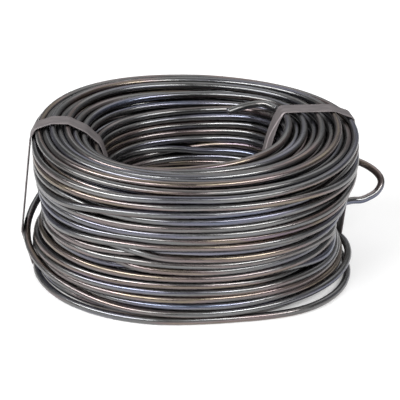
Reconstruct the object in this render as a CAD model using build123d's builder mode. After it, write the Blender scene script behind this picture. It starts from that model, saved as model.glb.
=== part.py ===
"""Coil of wire rod: one length of rod wound into a hand coil and held by two flat straps."""
import os
from math import cos, radians, sin, sqrt, tan

from build123d import *

# The rod and the way its turns lie side by side
wire_diameter = 5.5
pitch_share = 1.2
groove_share = 0.4
land_groove_share = 0.16
rod_sides = 8

# The wound section: radii from the axis, depths set in from the widest radius or out from the bore
coil_radius = 124
coil_height = 113
bore_radius = 61
waist_depth = 11
flare_depth = 9
foot_depth = 14
lip_depth = 4
bore_foot_depth = 6.5
shoulder_share = 0.83
waist_share = 0.3
bore_waist_share = 0.5
flare_share = 0.12
outer_steps = 4
bore_steps = 2

# Turns that stand loose: how far they lie out and how deep their ends bite into the body
bite = 6
dive_angle = 60
floor_turn_depth = 1
floor_turn_lift = 1.25
floor_turn_heading = -40
floor_turn_shift = 40
floor_turn_sweep = 150
slack_proud = 2
slack_shift = 10
slack_share = 0.275
slack_tilt = 15
slack_start = 152
slack_sweep = 66

# The two straps: each lies in an upright plane that heads outwards, set off from the axis
strap_width = 16
strap_thickness = 1.2
strap_gap = 0.3
left_strap_heading = 180
left_strap_offset = -2
right_strap_heading = 11
right_strap_offset = 10.5

# The rod's outer end, bent into an eye round the right strap
eye_proud = 32
eye_side_gap = 1.5
eye_top_share = 0.57
eye_bottom_share = 0.38
eye_bend = 10

# The rod's inner end, left standing out of the bore's rim
tail_root_depth = 12
tail_root_drop = 13
tail_root_angle = 38
tail_rim_depth = 2
tail_rim_drop = 5
tail_rim_angle = 50
tail_reach = 8.5
tail_tip_drop = 7
tail_tip_angle = 63
tail_bend = 20

# Sizes that follow from the ones above
wire_radius = wire_diameter / 2
turn_pitch = pitch_share * wire_diameter
shoulder_height = shoulder_share * coil_height
waist_radius = coil_radius - waist_depth
flare_radius = coil_radius - flare_depth
foot_radius = coil_radius - foot_depth
lip_radius = bore_radius + lip_depth
bore_foot_radius = bore_radius + bore_foot_depth
seat_height = strap_thickness + 2 * strap_gap
seat_width = strap_width + 2 * strap_gap
slack_reach = coil_radius + slack_proud
slack_height = slack_share * coil_height


# Guides of the wound section: up the outside, over the crown and down the bore
with BuildLine() as guides:
    outer_guide = Spline(
        (foot_radius, 0),
        (flare_radius, flare_share * coil_height),
        (waist_radius, waist_share * coil_height),
        (coil_radius, shoulder_height),
        tangents=[(1, 1), (0, 1), (0, 1), (0, 1)],
    )
    crown_guide = Spline(
        (coil_radius, shoulder_height),
        ((coil_radius + bore_radius) / 2, coil_height),
        (lip_radius, shoulder_height),
        tangents=[(0, 1), (-1, 0), (0, -1)],
    )
    bore_guide = ThreePointArc(
        (lip_radius, shoulder_height),
        (bore_radius, bore_waist_share * coil_height),
        (bore_foot_radius, 0),
    )


def wall_points(curve, steps):
    """Points that carry a wall's curve in even steps."""
    return [curve @ (step / steps) for step in range(steps + 1)]


def ridge_points(curve, pitch, depth):
    """Crests on the curve and grooves set in from it, one of each for every turn of rod."""
    turns = round(curve.length / pitch)
    points = []
    for step in range(2 * turns + 1):
        place = step / (2 * turns)
        crest = curve @ place
        along = (curve % place).normalized()
        inward = Vector(-along.Y, along.X)
        points.append(crest + inward * depth if step % 2 else crest)
    return points


def land_points(inner_radius, outer_radius, pitch, depth):
    """Flat lands of the turns that lie on the floor, with a groove between each two."""
    turns = round((outer_radius - inner_radius) / pitch)
    spacing = (outer_radius - inner_radius) / turns
    points = [Vector(inner_radius, 0)]
    for turn in range(1, turns):
        middle = inner_radius + turn * spacing
        points += [Vector(middle - depth, 0), Vector(middle, depth), Vector(middle + depth, 0)]
    return points + [Vector(outer_radius, 0)]


outer_points = wall_points(outer_guide, outer_steps)
crown_points = ridge_points(crown_guide, turn_pitch, groove_share * wire_diameter)
bore_points = wall_points(bore_guide, bore_steps)
floor_points = land_points(bore_foot_radius, foot_radius, turn_pitch, land_groove_share * wire_diameter)


def chord(radius, reach):
    """Half the chord of a circle, this far from its centre."""
    return sqrt(radius**2 - reach**2)


def polar(radius, angle, height):
    """A point round the coil's axis."""
    return (radius * cos(radians(angle)), radius * sin(radians(angle)), height)


def loose_turn(plane, shift, radius, start, sweep_angle, depth):
    """A turn that stands clear of the body for an arc and dives into it by this depth at both ends."""
    dive_bend = depth / (1 - cos(radians(dive_angle)))
    with BuildLine(plane) as path:
        clear = CenterArc((-shift, 0), radius, start, sweep_angle)
        JernArc(clear @ 1, clear % 1, dive_bend, dive_angle)
        JernArc(clear @ 0, -(clear % 0), dive_bend, -dive_angle)
    return path.wires()[0]


# Centre lines of the rod where it leaves the body
floor_plane = Plane.XY.offset(wire_radius + floor_turn_lift).rotated((0, 0, floor_turn_heading))
floor_turn_bend = coil_radius - floor_turn_depth - floor_turn_shift
with BuildLine(floor_plane) as floor_line:
    CenterArc((floor_turn_shift, 0), floor_turn_bend, -floor_turn_sweep / 2, floor_turn_sweep)
slack_path = loose_turn(
    Plane.XY.offset(slack_height).rotated((slack_tilt, 0, 0)),
    slack_shift,
    slack_reach - slack_shift,
    slack_start,
    slack_sweep,
    slack_reach - waist_radius + bite,
)
eye_back = right_strap_offset + strap_width / 2 + wire_radius + eye_side_gap
eye_front = right_strap_offset - strap_width / 2 - wire_radius - eye_side_gap
eye_top = eye_top_share * coil_height
eye_bottom = eye_bottom_share * coil_height
with BuildLine(Plane.XY.rotated((0, 0, right_strap_heading))) as eye_line:
    FilletPolyline(
        (chord(waist_radius, eye_back) - bite, eye_back, eye_top),
        (coil_radius, eye_back, eye_top),
        (coil_radius + eye_proud, right_strap_offset, (eye_top + eye_bottom) / 2),
        (coil_radius, eye_front, eye_bottom),
        (chord(waist_radius, eye_front) - bite, eye_front, eye_bottom),
        radius=eye_bend,
    )
with BuildLine() as tail_line:
    FilletPolyline(
        polar(lip_radius + tail_root_depth, tail_root_angle, coil_height - tail_root_drop),
        polar(lip_radius + tail_rim_depth, tail_rim_angle, coil_height - tail_rim_drop),
        polar(bore_radius - tail_reach, tail_tip_angle, coil_height - tail_tip_drop),
        radius=tail_bend,
    )
rod_paths = [floor_line.wires()[0], slack_path, eye_line.wires()[0], tail_line.wires()[0]]

strap_planes = [(left_strap_heading, left_strap_offset), (right_strap_heading, right_strap_offset)]

with BuildPart() as wire_coil:
    # The wound body
    with BuildSketch(Plane.XZ):
        with BuildLine():
            Polyline(*outer_points)
            Polyline(*crown_points)
            Polyline(*bore_points)
            Polyline(*floor_points)
        make_face()
    revolve(axis=Axis.Z)

    # The loose turns and both ends, all of the same rod
    for path in rod_paths:
        with BuildSketch(Plane(origin=path @ 0, z_dir=path % 0)):
            RegularPolygon(wire_radius, rod_sides)
        sweep(path=path)

    # Seats where the floor turns bow up over the straps
    for heading, strap_offset in strap_planes:
        with BuildSketch(Plane.XY.rotated((0, 0, heading))):
            with Locations((0, strap_offset)):
                Rectangle(coil_radius, seat_width, align=(Align.MIN, Align.CENTER))
        extrude(amount=seat_height, mode=Mode.SUBTRACT)


def section_edges(strap_offset):
    """Edges of the wound section above its seat, as planes along both edges of a strap cut it."""
    near = max(abs(strap_offset) - strap_width / 2, 0)
    far = abs(strap_offset) + strap_width / 2
    section = outer_points + crown_points[1:-1] + bore_points
    with BuildSketch() as cuts:
        for reach in (near, far):
            with BuildLine():
                Polyline([(chord(point.X, reach), point.Y) for point in section], close=True)
            make_face()
        Rectangle(2 * coil_radius, 2 * seat_height, mode=Mode.SUBTRACT)
    return cuts.edges()


def strap_plane(heading, strap_offset):
    """The upright plane of a strap, with its first axis outwards and its second up."""
    out = Vector(1, 0).rotate(Axis.Z, heading)
    aside = Vector(0, 1).rotate(Axis.Z, heading)
    return Plane(origin=aside * strap_offset, x_dir=out, z_dir=-aside)


# The slack turn as both edges of the left strap meet it
slack_climb = tan(radians(slack_tilt))
slack_meets = [strap_width / 2 + left_strap_offset, strap_width / 2 - left_strap_offset]
with BuildLine() as slack_section:
    CenterArc((slack_reach, slack_height - slack_climb * slack_meets[0]), wire_radius, 0, 360)
    CenterArc((slack_reach, slack_height + slack_climb * slack_meets[1]), wire_radius, 0, 360)

# Each strap is drawn taut round the outermost turns, so it bridges the waist
with BuildPart() as strap_left:
    with BuildSketch(strap_plane(left_strap_heading, left_strap_offset)):
        taut = make_hull(section_edges(left_strap_offset) + slack_section.edges(), mode=Mode.PRIVATE)
        offset(taut, amount=strap_gap + strap_thickness, kind=Kind.INTERSECTION)
        offset(taut, amount=strap_gap, kind=Kind.INTERSECTION, mode=Mode.SUBTRACT)
    extrude(amount=strap_width / 2, both=True)

with BuildPart() as strap_right:
    with BuildSketch(strap_plane(right_strap_heading, right_strap_offset)):
        taut = make_hull(section_edges(right_strap_offset), mode=Mode.PRIVATE)
        offset(taut, amount=strap_gap + strap_thickness, kind=Kind.INTERSECTION)
        offset(taut, amount=strap_gap, kind=Kind.INTERSECTION, mode=Mode.SUBTRACT)
    extrude(amount=strap_width / 2, both=True)

os.makedirs("parts", exist_ok=True)
wire_coil.part.label = "wire_coil"
export_step(wire_coil.part, "parts/wire_coil.step")
strap_left.part.label = "strap_left"
export_step(strap_left.part, "parts/strap_left.step")
strap_right.part.label = "strap_right"
export_step(strap_right.part, "parts/strap_right.step")
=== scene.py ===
"""Coil of wire rod: one rod wound turn on turn and held by two flat straps, on a plain floor."""
from math import cos, pi, radians, sin, tau

import bpy
import numpy as np
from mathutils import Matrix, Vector


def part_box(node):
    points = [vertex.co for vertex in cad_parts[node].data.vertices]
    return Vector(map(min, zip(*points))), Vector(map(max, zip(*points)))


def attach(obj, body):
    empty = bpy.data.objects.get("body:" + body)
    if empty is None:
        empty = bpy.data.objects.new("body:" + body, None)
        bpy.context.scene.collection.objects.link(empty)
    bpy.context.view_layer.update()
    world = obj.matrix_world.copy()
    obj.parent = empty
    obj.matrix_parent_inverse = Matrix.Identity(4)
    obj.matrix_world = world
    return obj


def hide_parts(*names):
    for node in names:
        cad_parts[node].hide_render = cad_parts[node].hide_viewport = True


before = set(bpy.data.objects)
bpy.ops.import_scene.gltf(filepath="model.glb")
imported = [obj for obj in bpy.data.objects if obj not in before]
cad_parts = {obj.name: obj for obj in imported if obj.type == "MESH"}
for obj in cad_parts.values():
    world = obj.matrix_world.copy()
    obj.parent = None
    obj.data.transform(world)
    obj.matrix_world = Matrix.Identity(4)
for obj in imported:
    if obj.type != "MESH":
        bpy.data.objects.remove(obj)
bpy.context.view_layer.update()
MM = 0.001

# The coil's widest radius, as the solid has it, and the rod
coil_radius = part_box("wire_coil")[1][1]
rod_diameter = 5.5 * MM
rod_radius = rod_diameter / 2
rod_sides = 12
rod_turn = tau * np.arange(rod_sides) / rod_sides

# The one rod is drawn in stretches, from its inner end to its outer end
stretches = ("rod_bore_turns", "rod_inner_turns", "rod_middle_turns", "rod_outer_turns")

# How a stretch of rod is laid out flat for baking: strips one above the other, with margins between
flat_map = "OFBake"
flat_strips = 38
flat_margin = 0.06

# How the rod is wound: layers from the bore outwards, each laid up or down in rows
winding_seed = 5
layer_count = 9
row_pitch = 6.05 * MM
slices = 72
slice_degrees = 360 / slices
fine_steps = 2
end_steps = 8
start_angle = 42
layer_step_turns = 0.18
wander_height = 5.4 * MM
wander_height_turns = 0.24
wander_crown_share = 0.35
wander_radius = 1.6 * MM
wander_radius_turns = 0.2

# The wound section: depths of the rod's centre line in from the widest radius, up the height
wall_heights = np.array([0, 6, 16, 30, 44, 52, 60, 68, 76, 84, 92, 112]) * MM
wall_depths = np.array([17, 14.5, 12.5, 13.5, 12, 10.5, 9, 7, 5.5, 4.5, 4.8, 5.5]) * MM
bore_heights = np.array([0, 20, 40, 60, 81, 94, 101, 112]) * MM
bore_depths = np.array([54, 58, 60, 61, 60.5, 57.8, 55.3, 52]) * MM
bore_shift = 5 * MM
foot_rise = 2.5 * MM
foot_power = 4
foot_lift_share = 1.05

# Heights of the top row, every eighth of a turn from the right by the back: rim, middle and outer edge
crown_rims = np.array([116.5, 109.5, 101.5, 98, 99, 101, 107, 110]) * MM
crown_middles = np.array([114, 109, 110.5, 114, 114.8, 110.5, 109.5, 109.5]) * MM
crown_edges = np.array([106.5, 102, 106, 111, 105, 101, 101, 101]) * MM
crown_power = 3

# The coil is a little square seen from above, more so at the bore and not at its foot
bore_squareness = 3.0
wall_squareness = 2.35
square_height = 50 * MM

# Where the outer wall is drawn in (negative) or sits out: angle, spread, height, rise, depth
wall_dents = [
    (6, 27, 44 * MM, 20 * MM, -11 * MM),
    (180, 24, 72 * MM, 24 * MM, -3.5 * MM),
    (132, 26, 102 * MM, 16 * MM, 4 * MM),
    (-178, 24, 20 * MM, 12 * MM, 11.5 * MM),
    (-138, 26, 4 * MM, 4.5 * MM, 4.5 * MM),
]

# How the turns settle against each other, and how far they may stand out of the wall
wall_slack = 1.2 * MM
settle_rounds = 140
stiffness = 0.35
early_pull = 0.02
late_pull = 0.004
late_share = 0.75
push_ease = 1.25
least_distance = 1e-9
far_off = 10.0

# How drifts and routes are evened out along the rod
smooth_reach = 4
route_smooth_turns = 0.02

# The two loose turns outside: degrees wound, radius and height of the rod's centre line in millimetres
loose_route = [
    (0, 105, 5.5), (17, 107.5, 4.6), (30, 110.5, 3.6), (42, 113.5, 3), (55, 117, 2.9),
    (68, 120.5, 2.9), (79, 122.5, 2.9), (88, 122.8, 2.9), (95, 121, 2.9), (105, 115.5, 2.9),
    (114, 112, 2.9), (124, 111, 2.9), (134, 112.2, 2.9), (146, 116.5, 2.9), (162, 118.8, 2.9),
    (183, 120.5, 2.9), (204, 120, 2.9), (216, 120.8, 3), (232, 118, 3.2), (272, 113, 3.6),
    (312, 110.5, 4.5), (360, 110.6, 6), (377, 113.5, 9.5), (392, 115.5, 12), (410, 116, 12.5),
    (425, 116, 11.5), (445, 116, 11), (460, 115, 10), (480, 112.5, 8.6), (498, 113.5, 8.4),
    (516, 116, 8.6), (530, 115.8, 10), (542, 116.6, 12), (552, 118.8, 14), (562, 122.5, 17),
    (570, 125.8, 21), (576, 127.8, 25.5), (583, 128, 31), (589, 126.5, 37), (594, 123.5, 42),
    (600, 120.5, 47), (612, 119, 53), (632, 119, 58), (672, 119.6, 62), (712, 120.6, 65),
    (732, 121.5, 66),
]

# The rod's outer end: an eye thrown round the right strap, then tucked in between the turns
eye_route = [
    (119, 52, 65.5), (126.5, 48.5, 64), (133, 46, 61.5), (138.5, 42, 58.5), (141.8, 38, 55),
    (141.8, 34, 51), (138, 30, 46.5), (132, 26.5, 44), (126.5, 24, 42.8), (119.5, 21, 43.5),
]
tuck_route = [(7, 113.8, 44.6), (2, 111, 45.4), (-3, 109, 45.8), (-9, 107.5, 46)]

# The rod's inner end, standing out of the bore's rim: angle, radius and height of its centre line
tail_route = [
    (61.6, 52.8, 106), (56, 60, 108), (50.8, 65.2, 109.8), (45.8, 70.2, 111), (40.3, 72.6, 111.5),
]

# The straps: their flat section, and how far off them the floor turns start to bow up
strap_width = 16 * MM
strap_thickness = 1.2 * MM
strap_gap = 0.25 * MM
strap_bow = 14 * MM
strap_step = 1.2 * MM
strap_columns = 21
corner_steps = 16
sharp_angle = 24

# The upright planes that the straps lie in: heading from the axis and how far they are set off aside
left_strap_heading = 180
left_strap_offset = -2 * MM
right_strap_heading = 11.3
right_strap_offset = 10.6 * MM
strap_planes = [(left_strap_heading, left_strap_offset), (right_strap_heading, right_strap_offset)]

# Degrees along the loose turns from which the rod lies outside the right strap
over_strap_from = 300

# The right strap's crease down the bore; a painted glint along the crease, and the straps' edges lighter
# from rubbing and a painted highlight
crease_lift = 1.2 * MM
far_lift = 1.0 * MM
crease_share = 0.45
crease_run = 22 * MM
crease_from = 0.25
crease_full = 0.75
crease_glint_width = 1.0 * MM
edge_light_width = 0.8 * MM
edge_light_share = 0.12

# Steel colours from cold blue to straw and violet, by share of the heat noise
heat_tints = [
    (0.26, (0.126, 0.149, 0.207)),
    (0.36, (0.146, 0.144, 0.179)),
    (0.44, (0.154, 0.156, 0.160)),
    (0.52, (0.159, 0.156, 0.153)),
    (0.59, (0.187, 0.149, 0.149)),
    (0.66, (0.192, 0.162, 0.121)),
    (0.74, (0.167, 0.134, 0.157)),
]

# The rod's finish: each noise by its scale, its detail and its stretch along and round the rod
noise_span = (0.3, 0.7)
tint_noise = (7, 3, (1, 0.06, 0.06))
streak_noise = (1, 4, (22, 2.2, 2.2))
streak_shades = (0.72, 1.28)
patch_noise = (1, 3, (45, 1.4, 1.4))
rod_roughness = (0.2, 0.37)
scale_noise = (1, 3, (900, 9, 9))
scale_relief = (0.12, 0.03 * MM)

# The straps' paint, by share of the mottle
strap_tints = [
    (0.30, (0.088, 0.078, 0.080)),
    (0.50, (0.112, 0.098, 0.100)),
    (0.70, (0.138, 0.122, 0.122)),
]

# The straps' finish: noises along, across and through the band, and how much lighter the edges (rubbing
# and painted highlight) and the crease (painted glint) are
mottle_noise = (1, 5, (90, 260, 60))
scuff_noise = (1, 4, (60, 1500, 300))
scuff_relief = (0.3, 0.05 * MM)
strap_roughness = (0.42, 0.68)
wear_and_glint_shades = (1, 5)

# Light: an even level from all round, and soft boxes by heading, elevation, width, height and power
world_level = 0.26
lamp_distance = 1.8
left_box = (-58, 36, 2.2, 0.4, 41)
right_box = (36, 36, 1.3, 0.4, 22)
back_box = (165, 60, 2.4, 2, 15)

# The floor: how wide it reaches, its colour, and the glow that makes it white to the eye
floor_half = 6
floor_colour = 0.75
floor_roughness = 0.9
floor_glow = 0.3

# Camera, as far off and as high as the photograph was taken from
camera_distance = 2.26
camera_elevation = 21.8
camera_aim = (3.8 * MM, 0, 52.3 * MM)
camera_lens = 270
camera_sensor = 36


def smooth_along(values, width):
    """Values evened out along the rod over about this many slices."""
    reach = int(smooth_reach * width)
    weights = np.exp(-0.5 * (np.arange(-reach, reach + 1) / width) ** 2)
    padded = np.pad(values, reach, mode="reflect")
    return np.convolve(padded, weights / weights.sum(), "valid")


def round_blend(values, angle):
    """Values given at even steps round the coil, blended smoothly between them."""
    step = (np.asarray(angle) * len(values) / tau) % len(values)
    here = step.astype(int) % len(values)
    share = 0.5 - 0.5 * np.cos(pi * (step % 1))
    return values[here] * (1 - share) + values[(here + 1) % len(values)] * share


def crown_height(across, angle):
    """Height of the top row's centre line, from the bore (0) to the outside (1), round the coil."""
    middle = round_blend(crown_middles, angle)
    side = np.where(across < 0.5, round_blend(crown_rims, angle), round_blend(crown_edges, angle))
    return middle + (side - middle) * np.abs(2 * across - 1) ** crown_power


def foot_height(across):
    """Height of the bottom row's centre line across the section."""
    return foot_lift_share * rod_radius + foot_rise * np.abs(2 * across - 1) ** foot_power


def bump(value, middle, spread):
    """A smooth bump of height 1."""
    return np.exp(-0.5 * ((value - middle) / spread) ** 2)


def turned_from(angle, degrees):
    """Degrees from a direction, between -180 and 180."""
    return (np.degrees(angle) - degrees + 180) % 360 - 180


def squareness(angle, power):
    """How far a rounded square reaches beyond the circle that fits inside it."""
    return (np.abs(np.cos(angle)) ** power + np.abs(np.sin(angle)) ** power) ** (-1 / power)


def section_radius(across, height, angle):
    """Radius of the rod's centre line, from the bore (0) to the wall (1), at a height and an angle."""
    wall = coil_radius - np.interp(height, wall_heights, wall_depths)
    for middle, spread, at_height, rise, depth in wall_dents:
        wall = wall + depth * bump(turned_from(angle, middle), 0, spread) * bump(height, at_height, rise)
    bore = coil_radius - np.interp(height, bore_heights, bore_depths) - bore_shift * np.cos(angle)
    power = bore_squareness + across * (wall_squareness - bore_squareness)
    square = 1 + (squareness(angle, power) - 1) * np.clip(height / square_height, 0, 1)
    return (bore + across * (wall - bore)) * square


def place_in_section(across, up, angle):
    """Radius and height of a rod at a share across and a share up the wound section."""
    foot = foot_height(across)
    height = foot + up * (crown_height(across, angle) - foot)
    return section_radius(across, height, angle), height


def from_strap(angle, radius, heading, offset):
    """How far a point lies aside from a strap's middle, and far off where it is beyond the axis."""
    turned = angle - radians(heading)
    return np.where(np.cos(turned) > 0, np.abs(radius * np.sin(turned) - offset), coil_radius)


def floor_level(angle, radius):
    """Lowest height of the rod's centre line: on the floor, or bowed up over a strap under it."""
    level = np.zeros_like(radius)
    for heading, offset in strap_planes:
        clear = from_strap(angle, radius, heading, offset) - strap_width / 2
        share = np.clip(1 - clear / strap_bow, 0, 1)
        level = np.maximum(level, share * share * (3 - 2 * share))
    return rod_radius + strap_gap + (strap_thickness + strap_gap) * level


def layer_shares():
    """Shares across and up the section along the whole rod, layer after layer."""
    across, up = [], []
    for layer in range(layer_count):
        share = layer / (layer_count - 1)
        rows = round(float(crown_height(share, 0.0) - foot_height(share)) / row_pitch) + 1
        run = np.linspace(0, 1, rows * slices)
        across.append(np.full(rows * slices, share))
        up.append(run if layer % 2 else 1 - run)
    return smooth_along(np.concatenate(across), layer_step_turns * slices), np.concatenate(up)


def wander(random, count, turns, size):
    """A slow random drift along the rod."""
    drift = smooth_along(random.normal(size=count), turns * slices)
    return drift * size / drift.std()


def follow(route, degrees):
    """Radius and height along a route of (degrees wound, radius, height) at these degrees."""
    points = np.array(route)
    radius = smooth_along(np.interp(degrees, points[:, 0], points[:, 1]), route_smooth_turns * slices)
    height = smooth_along(np.interp(degrees, points[:, 0], points[:, 2]), route_smooth_turns * slices)
    return radius * MM, height * MM


def tuck_slices():
    """Radius and height, slice by slice, of the tucked end, and far off where it doesn't reach."""
    reach = np.array(tuck_route)[::-1]
    angle = start_angle - slice_degrees * np.arange(slices)
    inside = (angle > reach[0, 0]) & (angle < reach[-1, 0])
    radius = np.where(inside, np.interp(angle, reach[:, 0], reach[:, 1]) * MM, far_off)
    return radius, np.interp(angle, reach[:, 0], reach[:, 2]) * MM


def push_apart(radius, height, turns):
    """How far each slice of each turn has to move off the turns that it overlaps."""
    spare = (turns - 1) * slices - len(radius)
    tuck_r, tuck_z = tuck_slices()
    across = np.concatenate([radius, np.full(spare, 2 * far_off), tuck_r]).reshape(turns, slices).T
    up = np.concatenate([height, far_off + np.arange(spare), tuck_z]).reshape(turns, slices).T
    gap_r = across[:, :, None] - across[:, None, :]
    gap_z = up[:, :, None] - up[:, None, :]
    square = gap_r**2 + gap_z**2
    square[:, np.arange(turns), np.arange(turns)] = 1
    where, this, other = np.nonzero(square < rod_diameter**2)
    distance = np.sqrt(square[where, this, other]) + least_distance
    share = 0.5 * (rod_diameter - distance) / distance
    move_r, move_z, contacts = np.zeros((3, slices, turns))
    np.add.at(move_r, (where, this), share * gap_r[where, this, other])
    np.add.at(move_z, (where, this), share * gap_z[where, this, other])
    np.add.at(contacts, (where, this), 1)
    ease = push_ease / np.sqrt(np.maximum(contacts, 1))
    count = len(radius)
    return (move_r * ease).T.ravel()[:count], (move_z * ease).T.ravel()[:count]


def lay_turns():
    """The rod as first laid: angle, radius and height, the places it is drawn to, and what is free."""
    random = np.random.default_rng(winding_seed)
    across, up = layer_shares()
    count = len(across)
    angle = radians(start_angle) - tau * np.arange(count) / slices
    home_r, home_z = place_in_section(across, up, angle)
    radius = home_r + wander(random, count, wander_radius_turns, wander_radius)
    settled = wander_crown_share + (1 - wander_crown_share) * np.sin(pi * up)
    height = home_z + wander(random, count, wander_height_turns, wander_height) * settled

    degrees = np.arange(0, loose_route[-1][0] + slice_degrees / 2, slice_degrees)
    loose_r, loose_z = follow(loose_route, degrees)
    first = angle[-1] - tau / slices
    angle = np.concatenate([angle, first - np.radians(degrees)])
    home_r, radius = (np.concatenate([part, loose_r]) for part in (home_r, radius))
    home_z, height = (np.concatenate([part, loose_z]) for part in (home_z, height))
    return angle, radius, height, home_r, home_z, np.arange(len(angle)) < count


def wind():
    """Angle, radius and height along the wound rod, settled turn against turn."""
    angle, radius, height, home_r, home_z, free = lay_turns()
    turns = -(-len(angle) // slices) + 1
    for round_number in range(settle_rounds):
        move_r, move_z = push_apart(radius, height, turns)
        pull = early_pull if round_number < late_share * settle_rounds else late_pull
        for values, move, home in ((radius, move_r, home_r), (height, move_z, home_z)):
            values[free] += move[free]
            bend = np.zeros_like(values)
            bend[1:-1] = 0.5 * (values[:-2] + values[2:]) - values[1:-1]
            values[free] += stiffness * bend[free] + pull * (home - values)[free]
        np.maximum(height, floor_level(angle, radius), out=height)
        widest = section_radius(1.0, height, angle) + wall_slack
        radius[free] = np.minimum(radius, widest)[free]
    return angle, radius, height


def resample(points, steps):
    """A smooth curve through points, with this many steps between each two."""
    before = np.vstack([2 * points[0] - points[1], points[:-1]])
    after = np.vstack([points[1:], 2 * points[-1] - points[-2]])
    slope = (after - before) / 2
    share = np.arange(steps)[None, :, None] / steps
    start, end = points[:-1, None], points[1:, None]
    lead, trail = slope[:-1, None], slope[1:, None]
    curve = (
        (2 * share**3 - 3 * share**2 + 1) * start
        + (share**3 - 2 * share**2 + share) * lead
        + (3 * share**2 - 2 * share**3) * end
        + (share**3 - share**2) * trail
    )
    return np.vstack([curve.reshape(-1, 3), points[-1:]])


def round_axis(angle, radius, height):
    """Points round the coil's axis."""
    return np.column_stack([radius * np.cos(angle), radius * np.sin(angle), height])


def route_points(route):
    """Points of a route of (degrees, radius, height) in millimetres."""
    degrees, radius, height = np.array(route).T
    return round_axis(np.radians(degrees), radius * MM, height * MM)


def rod_path():
    """Centre line of the whole rod, from its inner end to its outer end."""
    angle, radius, height = wind()
    turns = round_axis(angle, radius, height)
    eye_points = np.vstack([turns[-2:], np.array(eye_route) * MM, route_points(tuck_route)])
    return [
        resample(np.vstack([route_points(tail_route), turns[2:4]]), end_steps)[:-end_steps],
        resample(turns[2:-1], fine_steps),
        resample(eye_points, end_steps)[end_steps:],
    ]


def lay_flat(mesh, rings):
    """Lay a tube out flat for baking: strips of its length one above the other, and its ends beyond."""
    step = np.arange(rings - 1)
    strip_steps = -(-len(step) // flat_strips)
    strip, start = np.divmod(step, strip_steps)
    side = np.arange(rod_sides)
    along = np.stack([start, start, start + 1, start + 1], axis=-1)[:, None] / strip_steps
    around = np.stack([side, side + 1, side + 1, side], axis=-1)[None] / rod_sides
    above = strip[:, None, None] + flat_margin + (1 - 2 * flat_margin) * around
    walls = np.stack(np.broadcast_arrays(along, above / (flat_strips + 1)), axis=-1).reshape(-1, 2)
    disc = (0.5 - flat_margin) * np.column_stack([np.cos(rod_turn), np.sin(rod_turn)])
    ends = [(disc + (0.5 + end, 0.5 + flat_strips)) / (flat_strips + 1) for end in range(2)]
    mesh.uv_layers.new(name=flat_map).uv.foreach_set("vector", np.vstack([walls, *ends]).ravel())


def tube_points(path):
    """Points of a round tube, ring after ring along its path."""
    forward = np.gradient(path, axis=0)
    forward /= np.linalg.norm(forward, axis=1)[:, None]
    side = np.cross(forward, (0, 0, 1))
    side /= np.linalg.norm(side, axis=1)[:, None]
    over = np.cross(side, forward)
    sideways = np.cos(rod_turn)[None, :, None] * side[:, None]
    upwards = np.sin(rod_turn)[None, :, None] * over[:, None]
    return (path[:, None] + rod_radius * (sideways + upwards)).reshape(-1, 3)


def tube_faces(rings):
    """Faces of a tube of this many rings: its sides, then its two ends."""
    start = np.arange(rings - 1)[:, None] * rod_sides
    side = np.arange(rod_sides)[None, :]
    first = start + side
    second = start + (side + 1) % rod_sides
    sides = np.stack([first, second, second + rod_sides, first + rod_sides], axis=-1).reshape(-1, 4)
    last = (rings - 1) * rod_sides
    return sides.tolist() + [list(range(rod_sides))[::-1], list(range(last, last + rod_sides))]


def keep_places(mesh, name, *columns):
    """Keep three values at each point of a mesh, for its material to read."""
    places = mesh.attributes.new(name, "FLOAT_VECTOR", "POINT")
    places.data.foreach_set("vector", np.column_stack(columns).ravel())


def tube_mesh(name, path, along):
    """A closed round tube along a path, whose points keep their place along the rod and round it."""
    rings = len(path)
    mesh = bpy.data.meshes.new(name)
    mesh.from_pydata(tube_points(path), [], tube_faces(rings))
    mesh.shade_smooth()
    for cap in mesh.polygons[-2:]:
        cap.use_smooth = False
    across = np.tile(np.cos(rod_turn), rings)
    over = np.tile(np.sin(rod_turn), rings)
    keep_places(mesh, "rod_place", np.repeat(along, rod_sides), across, over)
    lay_flat(mesh, rings)
    return mesh


def add_piece(name, mesh, material, slot, *nodes):
    """Put a piece in the scene, on the body, in place of its solids."""
    piece = bpy.data.objects.new(name, mesh)
    bpy.context.scene.collection.objects.link(piece)
    mesh.materials.append(material)
    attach(piece, "root")
    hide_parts(*nodes)


def hull(points):
    """Corners of the tightest closed loop round points in a plane, in order."""
    order = points[np.lexsort((points[:, 1], points[:, 0]))]
    halves = []
    for run in (order, order[::-1]):
        half = []
        for point in run:
            while len(half) > 1 and np.cross(half[-1] - half[-2], point - half[-2]) <= 0:
                half.pop()
            half.append(point)
        halves += half[:-1]
    return np.array(halves)


def even_loop(corners, spacing, grow):
    """A closed loop grown outwards by a distance, with evenly spaced points."""
    turn = tau * np.arange(corner_steps) / corner_steps
    round_points = corners[:, None] + grow * np.stack([np.cos(turn), np.sin(turn)], axis=-1)[None]
    grown = hull(round_points.reshape(-1, 2))
    closed = np.vstack([grown, grown[:1]])
    walked = np.concatenate([[0], np.cumsum(np.linalg.norm(np.diff(closed, axis=0), axis=1))])
    at = np.linspace(0, walked[-1], round(walked[-1] / spacing) + 1)[:-1]
    return np.column_stack([np.interp(at, walked, closed[:, axis]) for axis in (0, 1)])


def strap_section(width, thickness):
    """Places across and out from the inner face round a strap's rounded flat section."""
    nose = thickness / 2
    inner = np.linspace(nose - width / 2, width / 2 - nose, strap_columns)
    across = np.concatenate([[-width / 2], inner, [width / 2], inner[::-1]])
    lift = np.concatenate([[nose], np.zeros(strap_columns), [nose], np.full(strap_columns, thickness)])
    return across, lift


def bore_crease(across, drop):
    """How far a strap stands off the bore across it, and how near its crease is for a painted glint
    there, this share down it.
    """
    half = strap_width / 2
    line = crease_share * strap_width * drop - half
    near = np.clip((across + half) / np.maximum(line + half, strap_gap), 0, 1)
    far = np.clip((across - line) / (half - line), 0, 1)
    stand_off = crease_lift * near + (far_lift - crease_lift) * far
    return stand_off, np.clip(1 - np.abs(across - line) / crease_glint_width, 0, 1)


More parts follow.
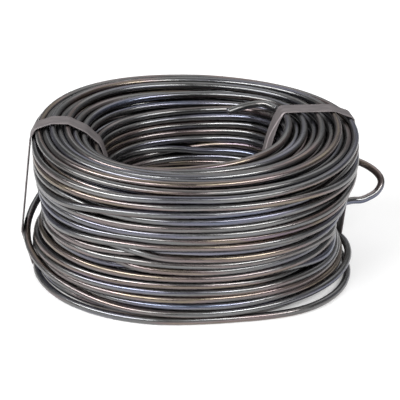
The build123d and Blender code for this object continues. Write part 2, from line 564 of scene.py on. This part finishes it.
def taut_loop(rod_points, out, aside, offset):
    """A strap's inner line, out and up in its plane, drawn taut round every turn that it crosses."""
    beside = np.abs(rod_points @ aside - offset) < strap_width / 2
    crossed = rod_points[beside & (rod_points @ out > 0)]
    corners = hull(np.column_stack([crossed @ out, crossed[:, 2]]))
    return even_loop(corners, strap_step, rod_radius + strap_gap)


def loop_outward(loop):
    """Directions square to a closed loop, away from what it holds."""
    forward = np.roll(loop, -1, axis=0) - np.roll(loop, 1, axis=0)
    forward /= np.linalg.norm(forward, axis=1)[:, None]
    return np.column_stack([forward[:, 1], -forward[:, 0]])


def band_faces(steps, section):
    """Faces of a closed band with this many steps round it and points round its section."""
    step, place = np.meshgrid(np.arange(steps), np.arange(section), indexing="ij")
    after, beyond = (step + 1) % steps, (place + 1) % section
    corners = ((step, place), (step, beyond), (after, beyond), (after, place))
    numbers = [ring * section + point for ring, point in corners]
    return np.stack(numbers, axis=-1).reshape(-1, 4).tolist()


def strap_mesh(name, rod_points, heading, offset, creased):
    """A flat strap drawn taut round every turn that it crosses, creased down the bore or plain."""
    out = np.array([cos(radians(heading)), sin(radians(heading)), 0])
    aside = np.array([-out[1], out[0], 0])
    up = np.array([0, 0, 1])
    loop = taut_loop(rod_points, out, aside, offset)
    outward = loop_outward(loop)
    across, lift = strap_section(strap_width, strap_thickness)
    faces_bore = (-outward[:, :1] - crease_from) / (crease_full - crease_from)
    in_bore = creased * np.clip(faces_bore, 0, 1)
    drop = np.clip((loop[:, 1:].max() - loop[:, 1:]) / crease_run, 0, 1)
    stand_off, crease = bore_crease(across, drop)
    # Painted light: a painted glint along the crease down the bore, and edges lighter, partly from
    # rubbing and partly a painted highlight
    edge = np.clip(1 - (strap_width / 2 - np.abs(across)) / edge_light_width, 0, 1)
    wear_and_glint = np.maximum(in_bore * crease, edge_light_share * edge)
    flat = loop[:, None] + outward[:, None] * (lift + in_bore * drop * stand_off)[:, :, None]
    points = flat[:, :, :1] * out + flat[:, :, 1:] * up + (offset + across)[None, :, None] * aside
    steps, section = len(loop), len(across)
    mesh = bpy.data.meshes.new(name)
    mesh.from_pydata(points.reshape(-1, 3), [], band_faces(steps, section))
    mesh.shade_smooth()
    mesh.set_sharp_from_angle(angle=radians(sharp_angle))
    walked = np.repeat(np.arange(steps) * strap_step, section)
    keep_places(mesh, "strap_place", walked, np.tile(across, steps), np.tile(lift, steps))
    # Keeps the painted glint on the crease and the edges' lightening (rubbing and painted highlight) for
    # the material
    mesh.attributes.new("strap_wear_and_glint", "FLOAT", "POINT").data.foreach_set("value", wear_and_glint.ravel())
    return mesh


def new_material(name):
    """An empty node material with its shader and output."""
    material = bpy.data.materials.new(name)
    material.use_nodes = True
    nodes = material.node_tree.nodes
    return material, nodes, material.node_tree.links, nodes["Principled BSDF"]


def kept_value(nodes, name, output):
    """A value that the mesh keeps at its points."""
    kept = nodes.new("ShaderNodeAttribute")
    kept.attribute_name = name
    return kept.outputs[output]


def noise(nodes, links, place, scale, detail, stretch):
    """Noise over a place, stretched along its axes."""
    spread = nodes.new("ShaderNodeMapping")
    spread.inputs["Scale"].default_value = stretch
    links.new(place, spread.inputs["Vector"])
    texture = nodes.new("ShaderNodeTexNoise")
    texture.inputs["Scale"].default_value = scale
    texture.inputs["Detail"].default_value = detail
    links.new(spread.outputs["Vector"], texture.inputs["Vector"])
    return texture.outputs["Fac"]


def ramp(nodes, links, share, stops):
    """Colours blended from stop to stop by a share."""
    blend = nodes.new("ShaderNodeValToRGB")
    elements = blend.color_ramp.elements
    while len(elements) < len(stops):
        elements.new(0.5)
    for element, (place, colour) in zip(elements, stops):
        element.position = place
        element.color = (*colour, 1)
    links.new(share, blend.inputs["Fac"])
    return blend.outputs["Color"]


def remap(nodes, links, share, span, ends):
    """A share within a span, spread from one end to the other."""
    spread = nodes.new("ShaderNodeMapRange")
    for socket, value in zip(("From Min", "From Max", "To Min", "To Max"), (*span, *ends)):
        spread.inputs[socket].default_value = value
    links.new(share, spread.inputs["Value"])
    return spread.outputs["Result"]


def times(nodes, links, colour, factor):
    """A colour made lighter or darker by a factor."""
    scale = nodes.new("ShaderNodeVectorMath")
    scale.operation = "SCALE"
    links.new(colour, scale.inputs[0])
    links.new(factor, scale.inputs["Scale"])
    return scale.outputs["Vector"]


def bump_from(nodes, links, height, strength, distance):
    """A fine relief from a height."""
    relief = nodes.new("ShaderNodeBump")
    relief.inputs["Strength"].default_value = strength
    relief.inputs["Distance"].default_value = distance
    links.new(height, relief.inputs["Height"])
    return relief.outputs["Normal"]


def rod_material():
    """Dark hot-rolled steel: slow heat tints along the rod, drawn-out streaks and a fine scale."""
    material, nodes, links, shader = new_material("rod_steel")
    place = kept_value(nodes, "rod_place", "Vector")
    colour = ramp(nodes, links, noise(nodes, links, place, *tint_noise), heat_tints)
    streaks = noise(nodes, links, place, *streak_noise)
    shade = remap(nodes, links, streaks, noise_span, streak_shades)
    links.new(times(nodes, links, colour, shade), shader.inputs["Base Color"])
    patches = noise(nodes, links, place, *patch_noise)
    links.new(remap(nodes, links, patches, noise_span, rod_roughness), shader.inputs["Roughness"])
    scale = noise(nodes, links, place, *scale_noise)
    links.new(bump_from(nodes, links, scale, *scale_relief), shader.inputs["Normal"])
    shader.inputs["Metallic"].default_value = 1
    return material


def strap_material():
    """Matt brown-grey band with a mottled finish, lighter along its edges from rubbing and a painted
    highlight, with a painted glint along its crease.
    """
    material, nodes, links, shader = new_material("strap_band")
    place = kept_value(nodes, "strap_place", "Vector")
    colour = ramp(nodes, links, noise(nodes, links, place, *mottle_noise), strap_tints)
    # Lighter where the mesh keeps it: a painted glint on the crease, and rubbing with a painted
    # highlight on the edges
    wear_glint_share = kept_value(nodes, "strap_wear_and_glint", "Fac")
    wear_glint_lift = remap(nodes, links, wear_glint_share, (0, 1), wear_and_glint_shades)
    links.new(times(nodes, links, colour, wear_glint_lift), shader.inputs["Base Color"])
    scuffs = noise(nodes, links, place, *scuff_noise)
    links.new(remap(nodes, links, scuffs, noise_span, strap_roughness), shader.inputs["Roughness"])
    links.new(bump_from(nodes, links, scuffs, *scuff_relief), shader.inputs["Normal"])
    return material


def build_coil():
    """The rod in its stretches, and the straps drawn over it."""
    tail, turns, eye = rod_path()
    steel = rod_material()
    band = strap_material()
    whole = np.vstack([tail, turns, eye])
    along = np.concatenate([[0], np.cumsum(np.linalg.norm(np.diff(whole, axis=0), axis=1))])
    cuts = np.linspace(0, len(whole) - 1, len(stretches) + 1).astype(int)
    for name, start, end in zip(stretches, cuts, cuts[1:]):
        mesh = tube_mesh(name, whole[start:end + 1], along[start:end + 1])
        add_piece(name, mesh, steel, "rod", "wire_coil")
    left = strap_mesh("band_left", turns, left_strap_heading, left_strap_offset, False)
    add_piece("band_left", left, band, "strap", "strap_left")
    outside = round((loose_route[-1][0] - over_strap_from) / slice_degrees) * fine_steps
    right = strap_mesh("band_right", turns[:-outside], right_strap_heading, right_strap_offset, True)
    add_piece("band_right", right, band, "strap", "strap_right")


def build_floor():
    """A wide pale floor that is white to the camera and keeps the shadow."""
    corners = [(x * floor_half, y * floor_half, 0) for x, y in ((-1, -1), (1, -1), (1, 1), (-1, 1))]
    mesh = bpy.data.meshes.new("floor")
    mesh.from_pydata(corners, [], [range(len(corners))])
    floor = bpy.data.objects.new("floor", mesh)
    bpy.context.scene.collection.objects.link(floor)
    material, nodes, links, shader = new_material("pale_floor")
    shader.inputs["Base Color"].default_value = (floor_colour, floor_colour, floor_colour, 1)
    shader.inputs["Roughness"].default_value = floor_roughness
    shader.inputs["Emission Color"].default_value = (1, 1, 1, 1)
    links.new(seen_directly(nodes, links, floor_glow), shader.inputs["Emission Strength"])
    mesh.materials.append(material)


def seen_directly(nodes, links, strength):
    """A strength that holds for camera, glossy and transmission rays and is 0 for the rest."""
    path = nodes.new("ShaderNodeLightPath")
    total = path.outputs["Is Camera Ray"]
    for kind in ("Is Glossy Ray", "Is Transmission Ray"):
        either = nodes.new("ShaderNodeMath")
        either.operation = "MAXIMUM"
        links.new(total, either.inputs[0])
        links.new(path.outputs[kind], either.inputs[1])
        total = either.outputs[0]
    scale = nodes.new("ShaderNodeMath")
    scale.operation = "MULTIPLY"
    scale.inputs[1].default_value = strength
    links.new(total, scale.inputs[0])
    return scale.outputs[0]


def build_world():
    """An even soft light from all round."""
    world = bpy.data.worlds.new("studio")
    world.use_nodes = True
    backdrop = world.node_tree.nodes["Background"]
    backdrop.inputs["Color"].default_value = (1, 1, 1, 1)
    backdrop.inputs["Strength"].default_value = world_level
    bpy.context.scene.world = world


def add_lamp(name, heading, elevation, width, height, power):
    """A soft box that faces the coil, by its heading from the camera's side and its elevation."""
    lamp = bpy.data.lights.new(name, "AREA")
    lamp.shape = "RECTANGLE"
    lamp.size = width
    lamp.size_y = height
    lamp.energy = power
    holder = bpy.data.objects.new(name, lamp)
    level = cos(radians(elevation))
    turned = radians(heading)
    towards = Vector((level * sin(turned), -level * cos(turned), sin(radians(elevation))))
    holder.location = Vector(camera_aim) + lamp_distance * towards
    holder.rotation_euler = towards.to_track_quat("Z", "Y").to_euler()
    bpy.context.scene.collection.objects.link(holder)


def build_lights():
    """A soft box on the left, a weaker one on the right and one high behind."""
    add_lamp("left_box", *left_box)
    add_lamp("right_box", *right_box)
    add_lamp("back_box", *back_box)


def build_camera():
    """The photograph's view of the coil."""
    rise = radians(camera_elevation)
    camera = bpy.data.cameras.new("camera")
    camera.lens = camera_lens
    camera.sensor_width = camera_sensor
    holder = bpy.data.objects.new("camera", camera)
    aim = Vector(camera_aim)
    holder.location = aim + camera_distance * Vector((0, -cos(rise), sin(rise)))
    holder.rotation_euler = (aim - holder.location).to_track_quat("-Z", "Y").to_euler()
    bpy.context.scene.collection.objects.link(holder)
    bpy.context.scene.camera = holder


build_coil()
build_floor()
build_world()
build_lights()
build_camera()
bpy.context.scene.view_settings.view_transform = "Standard"
